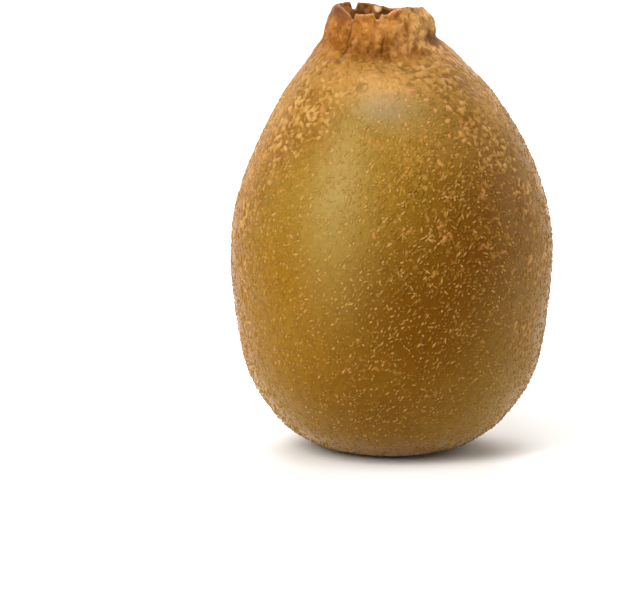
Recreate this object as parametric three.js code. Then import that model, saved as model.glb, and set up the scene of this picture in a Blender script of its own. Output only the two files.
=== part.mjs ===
// A golden kiwi fruit, whole and as picked, standing on the blunt end where its stalk broke off.
// Millimetres, +Z up, the origin on the resting surface under the middle of the fruit. The front is -Y.
//
// The fruit is one solid. Its outline is turned round the Z axis from the stalk scar in the underside,
// over the foot, the flank and the neck, across the rim of the dried beak and down into the beak's hollow.
// Every point of that turned surface is then moved by the reliefs further down, which give the fruit its
// bend, its flattened girth, the wrinkled neck, the overlapping flaps of the beak and its torn rim.
import * as THREE from "three";
import { mergeVertices } from "three/addons/utils/BufferGeometryUtils.js";

// ---- Driving dimensions

const HEIGHT = 72.2; // resting surface to the mean level of the beak's rim
const WIDTH = 52; // across the widest girth, along X
const FLATNESS = 0.955; // girth along Y as a share of the girth along X
const WIDEST_AT = 30; // height of the widest girth

const FOOT_RADIUS = 8.8; // outer edge of the flat spot that the fruit stands on
const SCAR_RADIUS = 5.2; // inner edge of that flat spot, where the stalk cavity begins
const SCAR_DEPTH = 1.7; // how far the stalk cavity goes in
const STUB_RADIUS = 2.1; // corky stub of the stalk, left in the cavity

const NECK_AT = 66.8; // height where the flank turns into the beak
const NECK_RADIUS = 9.6;
const RIM_RADIUS = 7.7; // from the beak's axis to the crest of its rim
const HOLLOW_RADIUS = 3.4; // floor of the beak's hollow
const HOLLOW_DEPTH = 5.4; // below the mean rim
const BEAK_OFFSET = -1.8; // how far the beak stands off the fruit's axis, along X
const HOLLOW_OFFSET = -0.6; // how far the hollow stands off the beak's axis, along X

const COLUMNS = 96; // facets round the fruit
const FLANK_ROWS = 20;
const BEAK_ROWS = 11;
const RIM_ROWS = 4;
const HOLLOW_ROWS = 7;

const SKIN = new THREE.MeshStandardMaterial({ color: 0xa47a30, roughness: 0.62, metalness: 0 });

const { clamp, degToRad, euclideanModulo, smoothstep } = THREE.MathUtils;

// A bell of height 1 over the middle, down to 0.37 at spread away from it
const bell = (distance, spread) => Math.exp(-((distance / spread) ** 2));

// The same with a flatter top and steeper sides
const step = (distance, spread) => Math.exp(-((distance / spread) ** 4));

// The shorter way round from one azimuth to another, from -180 to 180 degrees
const turn = (azimuth, from) => euclideanModulo(azimuth - from + 180, 360) - 180;

// ---- The outline: radius and height, from the middle of the underside to the middle of the hollow

const stalkCavity = [
  [0, SCAR_DEPTH - 0.7],
  [STUB_RADIUS * 0.75, SCAR_DEPTH - 0.75],
  [STUB_RADIUS, SCAR_DEPTH - 0.1],
  [STUB_RADIUS + 1.1, SCAR_DEPTH - 0.25],
  [SCAR_RADIUS - 0.7, 0.35],
  [SCAR_RADIUS, 0],
];

const flank = [
  [FOOT_RADIUS, 0],
  [13.6, 1.6],
  [19.2, 6],
  [23.8, 14.4],
  [WIDTH / 2, WIDEST_AT],
  [25.15, 40],
  [21.95, 49],
  [17.15, 57.6],
  [12.5, 63.4],
  [NECK_RADIUS, NECK_AT],
];

const beakWall = [
  [NECK_RADIUS, NECK_AT],
  [8.95, NECK_AT + 1.5],
  [8.6, NECK_AT + 3.2],
  [RIM_RADIUS + 0.45, HEIGHT - 0.7],
];

const rim = [
  [RIM_RADIUS + 0.45, HEIGHT - 0.7],
  [RIM_RADIUS, HEIGHT],
  [RIM_RADIUS - 0.5, HEIGHT - 0.7],
];

const hollow = [
  [RIM_RADIUS - 0.5, HEIGHT - 0.7],
  [HOLLOW_RADIUS + 2.1, HEIGHT - 2.4],
  [HOLLOW_RADIUS + 0.7, HEIGHT - 4.2],
  [HOLLOW_RADIUS - 0.4, HEIGHT - HOLLOW_DEPTH],
  [1.2, HEIGHT - HOLLOW_DEPTH - 0.1],
  [0, HEIGHT - HOLLOW_DEPTH + 0.5],
];

const points = (list) => list.map(([radius, height]) => new THREE.Vector2(radius, height));

// Rows spaced evenly along a smooth curve, without its last point, which the next curve begins with
const along = (list, rows) => new THREE.SplineCurve(points(list)).getSpacedPoints(rows).slice(0, rows);

function outline() {
  return [
    ...points(stalkCavity),
    ...along(flank, FLANK_ROWS),
    ...along(beakWall, BEAK_ROWS),
    ...along(rim, RIM_ROWS),
    ...along(hollow, HOLLOW_ROWS),
    ...points(hollow).slice(-1),
  ];
}

// ---- Reliefs. Azimuths are in degrees: 0 along +X, -90 the front, 180 the left.

// The rim stands over or under its mean level, flap by flap, and tears part the flaps
const flaps = [
  { at: 176, spread: 22, rise: -0.2 },
  { at: -147, spread: 18, rise: 0.6 },
  { at: -112, spread: 24, rise: -0.65 },
  { at: -58, spread: 15, rise: 0.45 },
  { at: 22, spread: 22, rise: -0.55 },
  { at: 70, spread: 31, rise: -1.1 },
];
const tears = [
  { at: 122.5, spread: 4.5, depth: 1.2 },
  { at: -124.5, spread: 4.5, depth: 0.35 },
  { at: -94, spread: 3.6, depth: 1.1 },
  { at: -84, spread: 6, depth: 0.4 },
];

// The front flap laps over the left one along a fold that slants down to the left
const FOLD = { at: -121, slant: 1.05, foot: 60, lap: 0.32, lapSpread: 28, sunkSpread: 9, dip: 1.3 };

// Azimuth of the fold at a height, and degrees round from it, positive on the front flap
const foldAzimuth = (height) => FOLD.at - (HEIGHT - Math.max(height, FOLD.foot)) * FOLD.slant;
const pastFold = (azimuth, height) => turn(azimuth, foldAzimuth(height));

function fold(azimuth, height) {
  const side = pastFold(azimuth, height);
  const share = smoothstep(height, FOLD.foot, HEIGHT - 3);
  const lap = side > 0 ? Math.exp(-side / FOLD.lapSpread) : -Math.exp(side / FOLD.sunkSpread);
  return FOLD.lap * share * lap;
}

function rimRise(azimuth) {
  const rise = flaps.reduce((sum, flap) => sum + flap.rise * bell(turn(azimuth, flap.at), flap.spread), 0);
  const depth = tears.reduce((sum, tear) => sum + tear.depth * step(turn(azimuth, tear.at), tear.spread), 0);
  const side = pastFold(azimuth, HEIGHT);
  const dip = side < 0 ? FOLD.dip * Math.exp(side / 15) : 0;
  return rise - depth - dip;
}

// Furrows that run up the neck and the beak, where the tissue has dried and shrunk
function wrinkles(azimuth, height) {
  const a = degToRad(azimuth);
  const share = smoothstep(height, NECK_AT - 6, NECK_AT) * (1 - 0.7 * smoothstep(height, NECK_AT + 1, HEIGHT));
  return 0.12 * share * (Math.cos(19 * a + 1.6 * Math.sin(2 * a)) + 0.7 * Math.cos(11 * a - 0.8));
}

// The pinch under the front flap and the sharper groove under the thick right-hand lobe
function neckPinch(azimuth, height) {
  const front = 1.25 * bell(turn(azimuth, -86), 40) * bell(height - NECK_AT + 0.4, 1.9);
  const right = 0.55 * bell(turn(azimuth, 5), 62) * bell(height - NECK_AT - 0.5, 0.9);
  return -front - right;
}

// The neck begins lower down at the front than at the sides
const neckDip = (azimuth, height) => 1.7 * bell(turn(azimuth, -84), 42) * bell(height - NECK_AT, 3.4);

// The thick right-hand lobe leans in over the hollow
const lobe = (azimuth) => bell(turn(azimuth, 0), 50);
const LOBE_CREST = 1; // its crest stands in by this much
const LOBE_INNER = 2.3; // and its inner edge by this much more

// Slow unevenness of the girth, as a share of the radius
function uneven(azimuth) {
  const a = degToRad(azimuth);
  return 0.006 * Math.cos(3 * a + 0.7) + 0.004 * Math.cos(5 * a - 1.1);
}

// ---- The fruit

// Where a point of the turned outline goes; inHollow tells the hollow's face from the outer skin
function moved(radius, height, azimuth, inHollow) {
  const a = degToRad(azimuth);
  const upFlank = smoothstep(height, 1, 12);
  const inBeak = smoothstep(height, NECK_AT - 9, NECK_AT + 2);
  const towardsRim = inHollow
    ? smoothstep(radius, HOLLOW_RADIUS - 1.5, RIM_RADIUS - 1)
    : smoothstep(height, NECK_AT - 2, HEIGHT - 0.7);
  const overCrest = inHollow ? 1 : smoothstep(height, HEIGHT - 2, HEIGHT + 0.3);

  let r = radius * (1 + uneven(azimuth) * upFlank) - LOBE_CREST * lobe(azimuth) * overCrest * clamp(radius / 4, 0, 1);
  if (inHollow) {
    r -= LOBE_INNER * lobe(azimuth) * bell(radius - RIM_RADIUS + 1.6, 1.6);
    r += 0.15 * Math.cos(13 * a) * smoothstep(radius, 1.5, 4);
  } else {
    r += fold(azimuth, height) + wrinkles(azimuth, height) + neckPinch(azimuth, height);
  }

  const flat = 1 + (FLATNESS - 1) * upFlank * (1 - inBeak);
  const bend = BEAK_OFFSET * clamp((height - 47) / (68 - 47), 0, 1) ** 2;
  const hollowShift = inHollow ? HOLLOW_OFFSET * clamp((RIM_RADIUS - radius) / 2, 0, 1) : 0;
  return new THREE.Vector3(
    r * Math.cos(a) + bend + hollowShift,
    r * Math.sin(a) * flat,
    height + rimRise(azimuth) * towardsRim - (inHollow ? 0 : neckDip(azimuth, height)),
  );
}

// The columns of facets run along the fold, the first and the last of them close by on its two sides
const FOLD_GAP = 1.4; // degrees
const columnAzimuth = (column, height) =>
  foldAzimuth(height) + FOLD_GAP / 2 + (column * (360 - FOLD_GAP)) / (COLUMNS - 1);

// The outline turned by LatheGeometry, which lists the rows of each column in turn, then moved
function fruitGeometry() {
  const rows = outline();
  const hollowFrom = rows.length - HOLLOW_ROWS - 2; // the rim's last row is already on the hollow's side
  const turned = new THREE.LatheGeometry(rows, COLUMNS);
  const position = turned.getAttribute("position");
  for (let i = 0; i < position.count; i += 1) {
    const row = i % rows.length;
    const column = Math.floor(i / rows.length) % COLUMNS;
    const { x: radius, y: height } = rows[row];
    const point = moved(radius, height, columnAzimuth(column, height), row >= hollowFrom);
    position.setXYZ(i, point.x, point.y, point.z);
  }
  turned.deleteAttribute("normal");
  turned.deleteAttribute("uv");
  const closed = mergeVertices(turned, 1e-4);
  closed.computeBoundingBox();
  const middle = closed.boundingBox.getCenter(new THREE.Vector3());
  closed.translate(-middle.x, -middle.y, 0);
  closed.computeVertexNormals();
  return closed;
}

const fruit = new THREE.Mesh(fruitGeometry(), SKIN);
fruit.name = "kiwi_fruit";

const part = new THREE.Group();
part.add(fruit);

export default part;
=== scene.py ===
"""Golden kiwi fruit: the looks of a whole fruit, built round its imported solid.

Laid out as a Blender add-on and run as a script. The skin with its beak takes the place of the solid, and
crusts of cork, flecks, dots and lenticels stand on it. Every new piece is a surface worked out with numpy.
Lengths in the shape functions are millimetres and azimuths are degrees: 0 along +X, -90 the front.
"""

import bpy
import numpy as np
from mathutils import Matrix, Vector


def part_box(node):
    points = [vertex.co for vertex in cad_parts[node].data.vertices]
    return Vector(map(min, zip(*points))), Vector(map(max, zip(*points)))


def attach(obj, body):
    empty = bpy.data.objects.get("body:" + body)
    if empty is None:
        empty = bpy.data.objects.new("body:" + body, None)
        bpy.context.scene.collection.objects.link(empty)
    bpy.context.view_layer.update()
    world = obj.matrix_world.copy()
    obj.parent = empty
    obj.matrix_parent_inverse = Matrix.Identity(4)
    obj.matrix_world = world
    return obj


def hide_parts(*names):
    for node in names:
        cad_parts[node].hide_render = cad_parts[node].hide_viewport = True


bl_info = {
    "name": "Golden kiwi fruit",
    "version": (1, 0, 0),
    "blender": (4, 5, 0),
    "location": "View3D > Sidebar > Kiwi fruit",
    "description": "Skin, russet flecks and dried beak of a golden kiwi fruit",
    "category": "Object",
}

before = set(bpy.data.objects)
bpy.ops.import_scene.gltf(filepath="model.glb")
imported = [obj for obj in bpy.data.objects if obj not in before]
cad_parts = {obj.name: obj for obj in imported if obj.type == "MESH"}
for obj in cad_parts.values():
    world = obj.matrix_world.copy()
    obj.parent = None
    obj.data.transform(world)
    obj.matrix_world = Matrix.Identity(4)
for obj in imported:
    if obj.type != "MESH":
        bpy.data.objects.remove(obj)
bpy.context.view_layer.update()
NODE = "kiwi_fruit"
LOW, HIGH = (np.array(corner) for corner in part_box(NODE))
MM = 0.001

# ---- The fruit's sizes, the same as its solid's

HEIGHT = 72.2  # resting surface to the mean level of the beak's rim
WIDTH = 52.0  # across the widest girth, along X
FLATNESS = 0.955  # girth along Y as a share of the girth along X
WIDEST_AT = 30.0  # height of the widest girth
FOOT_RADIUS = 8.8  # outer edge of the flat spot that the fruit stands on
SCAR_RADIUS = 5.2  # inner edge of that flat spot, where the stalk cavity begins
SCAR_DEPTH = 1.7
STUB_RADIUS = 2.1  # corky stub of the stalk, left in the cavity
NECK_AT = 66.8  # height where the flank turns into the beak
NECK_RADIUS = 9.6
RIM_RADIUS = 7.7
HOLLOW_RADIUS = 3.4
HOLLOW_DEPTH = 5.4  # below the mean rim
BEAK_OFFSET = -1.8  # how far the beak stands off the fruit's axis, along X
BEND_FROM, BEND_TO = 47, 68  # heights between which the fruit bends to that side
HOLLOW_OFFSET = -0.6  # how far the hollow stands off the beak's axis, along X
LOBE_CREST = 1.0  # how far the crest of the thick right-hand lobe stands in
LOBE_INNER = 2.3  # and its inner edge by this much more

STALK_CAVITY = [
    (0, SCAR_DEPTH - 0.7),
    (STUB_RADIUS * 0.75, SCAR_DEPTH - 0.75),
    (STUB_RADIUS, SCAR_DEPTH - 0.1),
    (STUB_RADIUS + 1.1, SCAR_DEPTH - 0.25),
    (SCAR_RADIUS - 0.7, 0.35),
    (SCAR_RADIUS, 0),
]
FLANK = [
    (FOOT_RADIUS, 0),
    (13.6, 1.6),
    (19.2, 6),
    (23.8, 14.4),
    (WIDTH / 2, WIDEST_AT),
    (25.15, 40),
    (21.95, 49),
    (17.15, 57.6),
    (12.5, 63.4),
    (NECK_RADIUS, NECK_AT),
]
BEAK_WALL = [
    (NECK_RADIUS, NECK_AT),
    (8.95, NECK_AT + 1.5),
    (8.6, NECK_AT + 3.2),
    (RIM_RADIUS + 0.45, HEIGHT - 0.7),
]
RIM = [
    (RIM_RADIUS + 0.45, HEIGHT - 0.7),
    (RIM_RADIUS, HEIGHT),
    (RIM_RADIUS - 0.5, HEIGHT - 0.7),
]
HOLLOW = [
    (RIM_RADIUS - 0.5, HEIGHT - 0.7),
    (HOLLOW_RADIUS + 2.1, HEIGHT - 2.4),
    (HOLLOW_RADIUS + 0.7, HEIGHT - 4.2),
    (HOLLOW_RADIUS - 0.4, HEIGHT - HOLLOW_DEPTH),
    (1.2, HEIGHT - HOLLOW_DEPTH - 0.1),
    (0, HEIGHT - HOLLOW_DEPTH + 0.5),
]

# Flaps and tears of the beak's rim: azimuth, half width in degrees, and rise or depth
FLAPS = [
    (176, 22, -0.2),
    (-147, 18, 0.6),
    (-112, 24, -0.65),
    (-58, 15, 0.45),
    (22, 22, -0.55),
    (70, 31, -1.1),
]
TEARS = [(122.5, 4.5, 1.2), (-124.5, 4.5, 0.35), (-94, 3.6, 1.1), (-84, 6, 0.4)]

# The fold where the front flap laps over the left one
FOLD_AT = -121.0  # at the rim
FOLD_SLANT = 1.05  # degrees for each millimetre down
FOLD_FOOT = 60.0
FOLD_LAP = 0.32  # how far the front flap stands out and the left one in
LAP_SPREAD = 28.0  # degrees over which the lap dies away on the front flap
SUNK_SPREAD = 9.0  # and on the left one
FOLD_DIP = 1.3  # how much lower the left flap's rim is beside the fold
DIP_SPREAD = 15.0

# Furrows of the beak's outer wall: azimuth, half width in degrees, lowest and highest point, depth
FURROWS = [
    (-111.0, 2.6, 65.2, 68.6, 0.18),
    (-100.5, 1.6, 64.2, 68.2, 0.24),
    (-97.0, 3.4, 66.0, 70.2, 0.14),
    (-88.4, 1.6, 63.9, 69.6, 0.16),
    (-81.0, 1.5, 64.6, 67.2, 0.22),
    (-73.5, 2.6, 65.0, 69.6, 0.16),
    (-61.0, 2.0, 65.4, 67.6, 0.16),
    (-136.0, 2.0, 65.4, 70.8, 0.10),
    (-146.0, 1.6, 64.6, 68.8, 0.14),
    (-157.0, 2.4, 66.2, 70.2, 0.12),
]
HIDDEN_FURROWS = 14
CURL_AT = -75.0  # azimuth of a small dry roll on the rim

# ---- Shape arithmetic


def smooth(x, low, high):
    """0 under low, 1 over high, and a smooth step between."""
    t = np.clip((x - low) / (high - low), 0, 1)
    return t * t * (3 - 2 * t)


def bell(distance, spread):
    """A bell of height 1 over the middle, down to 0.37 at spread away from it."""
    return np.exp(-((distance / spread) ** 2))


def turn(azimuth, start):
    """The shorter way round from start to azimuth, from -180 to 180 degrees."""
    return (azimuth - start + 180) % 360 - 180


def sector(azimuth, middle, spread):
    """A bell round the fruit: 1 at the middle azimuth, down to 0.37 at spread degrees from it."""
    return bell(turn(azimuth, middle), spread)


def oval(azimuth, height, middle, level, wide, tall):
    """A soft oval patch: a bell wide degrees round the fruit times a bell tall millimetres up it."""
    return sector(azimuth, middle, wide) * bell(height - level, tall)


def front_of_neck(azimuth):
    """The front of the neck, where the beak reaches lowest, from 0 to 1."""
    return sector(azimuth, -84, 42)


def hashed(corners, seed):
    """A random value from 0 to 1 for each corner of a cubic lattice."""
    h = np.full(corners[0].shape, seed * 7919 + 17, np.uint32)
    for corner, prime in zip(corners, (374761393, 668265263, 2246822519)):
        h ^= corner.astype(np.uint32) * np.uint32(prime)
        h = (h ^ (h >> np.uint32(15))) * np.uint32(2654435761)
    h ^= h >> np.uint32(13)
    return h.astype(float) / 2**32


def noise(x, y, z, cell, seed):
    """Random values from -1 to 1 that change smoothly over cell millimetres. Each use has its own seed.

    Each corner of a cubic lattice gets a value hashed from its place, and the values are blended
    with a smooth step. The lattice's three directions, (2, 3, 6) / 7 and its like, lean, so that none
    of its planes lies level.
    """
    x, y, z = (np.asarray(c, float) / (7 * cell) for c in np.broadcast_arrays(x, y, z))
    places = [2 * x + 3 * y + 6 * z, 3 * x - 6 * y + 2 * z, 6 * x + 2 * y - 3 * z]
    corners = [np.floor(p).astype(np.int64) for p in places]
    shares = [smooth(p - c, 0, 1) for p, c in zip(places, corners)]
    total = 0
    for step in np.ndindex(2, 2, 2):
        weight = 1
        for share, move in zip(shares, step):
            weight = weight * (share if move else 1 - share)
        total = total + weight * (2 * hashed([c + move for c, move in zip(corners, step)], seed) - 1)
    return total


def cells(x, y, z, cell, seed):
    """Distances, in cells, to the nearest two of points strewn one to each cell of a cubic lattice.

    Each point keeps to the middle 70 % of its cell, and the cells looked in are a place's own and the
    26 round it.
    """
    places = [np.asarray(c, float) / cell for c in np.broadcast_arrays(x, y, z)]
    corners = [np.floor(p).astype(np.int64) for p in places]
    nearest = np.full(places[0].shape, 9.0)
    second = nearest.copy()
    for step in np.ndindex(3, 3, 3):
        there = [corner + move - 1 for corner, move in zip(corners, step)]
        away = [
            corner + 0.15 + 0.7 * hashed(there, seed + axis) - p
            for axis, (corner, p) in enumerate(zip(there, places))
        ]
        away = np.sqrt(sum(d**2 for d in away))
        second = np.minimum(second, np.maximum(nearest, away))
        nearest = np.minimum(nearest, away)
    return nearest, second


def cobbles(x, y, z, cell, seed):
    """Rounded lumps packed side by side: 0 in the creases between them and up to 1 on their tops."""
    nearest, second = cells(x, y, z, cell, seed)
    return np.sqrt(np.clip((second - nearest) / 0.8, 0, 1))


def spline(points, samples=160):
    """A uniform Catmull-Rom curve through the points, with its end points doubled."""
    p = np.array(points, float)
    last = len(p) - 1
    t = np.linspace(0, 1, samples, endpoint=False)[:, None]
    pieces = []
    for i in range(last):
        before, start, end, after = p[max(i - 1, 0)], p[i], p[i + 1], p[min(i + 2, last)]
        out, home = (end - before) / 2, (after - start) / 2
        pieces.append(
            (2 * start - 2 * end + out + home) * t**3
            + (3 * end - 3 * start - 2 * out - home) * t**2
            + out * t
            + start
        )
    return np.vstack(pieces + [p[-1:]])


def outline_table():
    """Arc length, radius and height along the outline, from the stalk scar to the hollow's floor."""
    flank, *others = (spline(points) for points in (FLANK, BEAK_WALL, RIM, HOLLOW))
    table = np.vstack([STALK_CAVITY, flank, *(run[1:] for run in others)])
    length = np.concatenate([[0], np.cumsum(np.hypot(*np.diff(table, axis=0).T))])
    return length, table[:, 0], table[:, 1]


LENGTH, RADII, HEIGHTS = outline_table()
CREST = float(LENGTH[np.argmax(HEIGHTS)])  # arc length at the crest of the rim
FOOT = float(LENGTH[len(STALK_CAVITY)])  # and at the outer edge of the flat spot


def arc_at(height):
    """Arc length along the outer skin at a height."""
    outer = (LENGTH >= FOOT) & (LENGTH <= CREST)
    return np.interp(height, HEIGHTS[outer], LENGTH[outer])


def fold_azimuth(height):
    """Azimuth of the fold at a height: it slants down to the left, and ends at its foot."""
    return FOLD_AT - (HEIGHT - np.maximum(height, FOLD_FOOT)) * FOLD_SLANT


def hidden_furrows():
    """Furrows of the same kind round the sides and the back, at seeded random places."""
    rng = np.random.default_rng(11)
    ranges = [(-4, 4), (1.6, 2.8), (-0.6, 0.9), (-0.6, 1.4), (0.12, 0.26)]
    shift, half, low, high, depth = (rng.uniform(*limits, HIDDEN_FURROWS) for limits in ranges)
    azimuth = np.linspace(20, 195, HIDDEN_FURROWS) + shift
    return list(zip(azimuth, half, 64.0 + low, 69.0 + high, depth))


ALL_FURROWS = FURROWS + hidden_furrows()


class Spots:
    """Points of the turned outline before any relief, and how far each lies in each region, from 0 to 1.

    Their plain places are x, y and z. The functions below add what their reliefs tell of each point.
    """

    def __init__(self, azimuth, arc):
        self.azimuth, self.arc = np.broadcast_arrays(np.asarray(azimuth, float), np.asarray(arc, float))
        self.radius = np.interp(self.arc, LENGTH, RADII)
        self.height = np.interp(self.arc, LENGTH, HEIGHTS)
        self.angle = np.radians(self.azimuth)
        self.plain = self.radius * np.cos(self.angle), self.radius * np.sin(self.angle), self.height
        self.past_crest = self.arc > CREST
        self.inside = smooth(self.arc, CREST, CREST + 0.5)  # on the hollow's face
        self.outside = 1 - self.inside
        self.up_flank = smooth(self.height, 1, 12)
        self.in_beak = smooth(self.height, NECK_AT - 9, NECK_AT + 2)
        self.on_beak = smooth(self.height, NECK_AT - 2.5, NECK_AT) * self.outside
        self.lobe = sector(self.azimuth, 0, 50)  # the thick right-hand lobe of the beak


def fold_relief(spots):
    """Relief of the fold, and its crease from 0 to 1.

    The front flap stands out and the left one in, each dying away as e^(-distance / spread) round the
    fruit, and a bell-shaped crease runs between them.
    """
    side = turn(spots.azimuth, fold_azimuth(spots.height))
    lap = np.where(
        side > 0,
        np.exp(-np.maximum(side, 0) / LAP_SPREAD),
        -np.exp(np.minimum(side, 0) / SUNK_SPREAD),
    )
    lap = FOLD_LAP * smooth(spots.height, FOLD_FOOT, HEIGHT - 3) * lap
    crease = bell(side + 0.7, 2.0) * smooth(spots.height, FOLD_FOOT + 0.6, NECK_AT + 0.4) * spots.outside
    return spots.outside * lap - 0.22 * crease, crease


def furrow_depth(spots):
    """Depth of the furrows: a bell across each, faded at both ends, on an azimuth that noise sways."""
    sway = 5.0 * noise(*spots.plain, 2.4, 3) + 2.0 * noise(*spots.plain, 0.8, 4)
    total = 0
    for azimuth, half, low, high, depth in ALL_FURROWS:
        begun = smooth(spots.height, low - 1.2, low + 1.2)
        ended = smooth(spots.height, high - 0.8, high + 0.8)
        total = total + depth * sector(spots.azimuth + sway, azimuth, half) * begun * (1 - ended)
    return total


def neck_relief(spots):
    """Cosine wrinkles up the neck, less the pinches under the front flap and under the right-hand lobe."""
    azimuth, height, a = spots.azimuth, spots.height, spots.angle
    share = smooth(height, NECK_AT - 6, NECK_AT) * (1 - 0.7 * smooth(height, NECK_AT + 1, HEIGHT))
    share = share * (1 - sector(azimuth, -35, 40))
    wave = np.cos(19 * a + 1.6 * np.sin(2 * a)) + 0.7 * np.cos(11 * a - 0.8)
    front = 1.25 * oval(azimuth, height, -86, NECK_AT - 0.4, 40, 1.9)
    right = 0.55 * oval(azimuth, height, 5, NECK_AT + 0.5, 62, 0.9)
    return spots.outside * (0.09 * share * wave - front - right)


def tissue_relief(spots):
    """Relief of the beak's dried tissue, its warts' domes, and the crevices between them from 0 to 1.

    Each wart is a dome of 1 - (d / 0.72)^2 over the distance d to the nearest of points strewn 1.6 mm
    apart, with fine cobbles on it. Warts are highest on the front of the right-hand lobe, and two
    sizes of noise swell the tissue everywhere.
    """
    x, y, z = spots.plain
    warty = spots.on_beak * (0.25 + 0.75 * oval(spots.azimuth, z, -42, NECK_AT + 1.8, 30, 3.4))
    domes = 1 - (cells(x, y, 1.3 * z, 1.6, 5)[0] / 0.72) ** 2
    warts = 0.40 * (np.maximum(domes, -0.2) - 0.5) + 0.08 * (cobbles(x, y, 1.5 * z, 0.7, 6) - 0.6)
    swell = 0.20 * noise(x, y, z, 2.6, 15) + 0.06 * noise(x, y, z, 0.9, 14)
    # The crevices round each wart, which are painted darker as shade
    crevices = 0.45 * smooth(0.5 - domes, -0.1, 0.8) * warty
    return warty * warts + spots.on_beak * swell, domes, crevices


def flank_relief(spots):
    """Three sizes of noise on the collar under the neck, and one slow one over the flank."""
    plain = spots.plain
    collar = 0.14 * noise(*plain, 1.9, 7) + 0.10 * noise(*plain, 0.9, 8) + 0.03 * noise(*plain, 0.45, 16)
    collar = collar * bell(spots.height - NECK_AT + 4, 3.2) * spots.outside
    return collar + spots.up_flank * (1 - spots.in_beak) * 0.10 * noise(*plain, 7.0, 9)


def hollow_relief(spots):
    """The hollow's face: cosine and noise fibres that run down it, and the lobe that leans in over it."""
    a = spots.angle
    fibres = 0.15 * np.cos(13 * a) + 0.10 * np.cos(31 * a + 2 * np.sin(3 * a))
    fibres = (fibres + 0.07 * noise(*spots.plain, 0.5, 10)) * smooth(spots.radius, 1.5, 4)
    return spots.inside * (fibres - LOBE_INNER * spots.lobe * bell(spots.radius - RIM_RADIUS + 1.6, 1.6))


def scar_relief(spots):
    """The stalk scar: cosine wrinkles out from the stub, and noise pits, all above the flat ring."""
    within = smooth(SCAR_RADIUS - spots.radius, 0.1, 1.2) * (spots.arc < FOOT)
    rays = np.cos(23 * spots.angle + 2 * np.sin(5 * spots.angle)) * smooth(spots.radius, 1.2, 3.0)
    return within * (0.16 + 0.10 * rays + 0.16 * noise(*spots.plain, 0.9, 17))


def rim_relief(spots):
    """How far the rim stands over its mean level.

    Bells raise or lower each flap, steep-sided bells e^(-x^4) cut the tears, the left flap dips beside
    the fold, and two sizes of noise bite into the edge. All of it fades out down both sides of the rim.
    """
    azimuth, height = spots.azimuth, spots.height
    rise = sum(up * sector(azimuth, at, half) for at, half, up in FLAPS)
    rise = rise - sum(depth * np.exp(-((turn(azimuth, at) / half) ** 4)) for at, half, depth in TEARS)
    side = turn(azimuth, FOLD_AT)
    rise = rise - np.where(side < 0, FOLD_DIP * np.exp(np.minimum(side, 0) / DIP_SPREAD), 0)
    ring = RIM_RADIUS * np.cos(spots.angle), RIM_RADIUS * np.sin(spots.angle), 0
    bites = 0.13 * noise(*ring, 0.9, 12) + 0.07 * noise(*ring, 0.4, 13)
    bites = bites * smooth(height, HEIGHT - 1.4, HEIGHT) * (1 - 0.7 * sector(azimuth, -10, 45))
    towards_rim = np.where(
        spots.past_crest,
        smooth(spots.radius, HOLLOW_RADIUS - 1.5, RIM_RADIUS - 1),
        smooth(height, NECK_AT - 2, HEIGHT - 0.7),
    )
    return (rise + bites) * towards_rim


def fruit_surface(azimuth, arc):
    """The skin: the turned outline, moved by the fruit's reliefs. Returns the places and their spots.

    The outline's radius and height at an arc length are turned to the azimuth. The radius gains the
    slow unevenness of the girth and every relief above, and the height gains those of the rim and of
    the stalk scar. The girth is flattened along Y, the beak is bent to the left, and the hollow stands
    a little off its axis.
    """
    spots = Spots(azimuth, arc)
    a, radius, height = spots.angle, spots.radius, spots.height
    fold, crease = fold_relief(spots)
    furrows = furrow_depth(spots)
    tissue, domes, crevices = tissue_relief(spots)
    curl = oval(spots.azimuth, spots.arc, CURL_AT, CREST - 0.5, 3.6, 0.45) * spots.outside

    uneven = 0.006 * np.cos(3 * a + 0.7) + 0.004 * np.cos(5 * a - 1.1)
    over_crest = np.where(spots.past_crest, 1, smooth(height, HEIGHT - 2, HEIGHT + 0.3))
    leaning = LOBE_CREST * spots.lobe * over_crest * np.clip(radius / 4, 0, 1)
    r = radius * (1 + uneven * spots.up_flank) - leaning
    r += fold + neck_relief(spots) - furrows * spots.outside + tissue + 0.8 * curl
    r += flank_relief(spots) + hollow_relief(spots)

    flat = 1 + (FLATNESS - 1) * spots.up_flank * (1 - spots.in_beak)
    bend = BEAK_OFFSET * np.clip((height - BEND_FROM) / (BEND_TO - BEND_FROM), 0, 1) ** 2
    shift = HOLLOW_OFFSET * np.clip((RIM_RADIUS - radius) / 2, 0, 1) * spots.inside
    dip = 1.7 * front_of_neck(spots.azimuth) * bell(height - NECK_AT, 3.4) * spots.outside
    z = height + rim_relief(spots) - dip + scar_relief(spots)

    spots.crease, spots.curl, spots.wart = crease, curl, smooth(domes, 0.1, 0.75)
    # Furrows and the crevices between warts, where shade is painted as a darker brown
    spots.furrow = np.maximum(np.clip(furrows / 0.3, 0, 1), crevices) * spots.outside
    beak_foot = height - 1.2 * front_of_neck(spots.azimuth)
    spots.beak = smooth(beak_foot, NECK_AT - 4.5, NECK_AT - 0.5) * spots.outside
    return np.stack([r * np.cos(a) + bend + shift, r * np.sin(a) * flat, z], -1), spots


# ---- Where the skin is russeted and how it is coloured

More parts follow.
